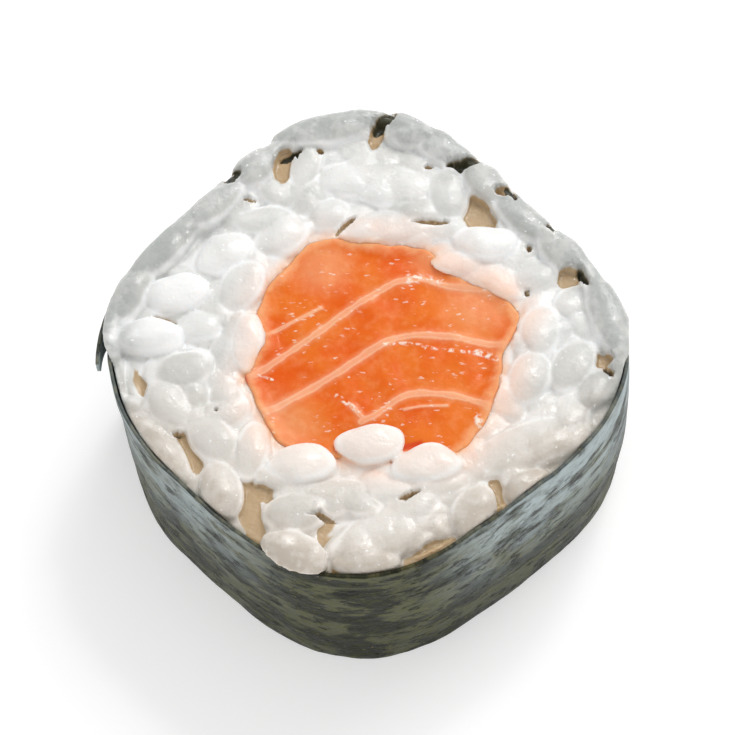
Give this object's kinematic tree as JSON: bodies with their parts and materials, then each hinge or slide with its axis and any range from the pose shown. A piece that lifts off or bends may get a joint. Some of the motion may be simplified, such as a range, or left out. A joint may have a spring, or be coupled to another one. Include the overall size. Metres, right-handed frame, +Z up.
{
  "type": "salmon maki roll",
  "caption": "Slice of sushi roll with rounded-square section: nori wrap around rice grains, with a slab of salmon through the middle, standing on its cut end.",
  "frame": {"origin": "middle of the footprint, on the surface that the roll stands on", "axes": "+Z up along the roll's axis, +X and +Y through two of the rounded corners; the corner on +X is at the picture's right and +Y points away from its camera"},
  "size_m": [0.0383, 0.0367, 0.0171],
  "materials": {
    "nori": "satin",
    "rice": "moist",
    "salmon": "moist"
  },
  "bodies": {
    "root": {"nori": "nori", "rice": "rice", "salmon": "salmon"}
  },
  "joints": []
}
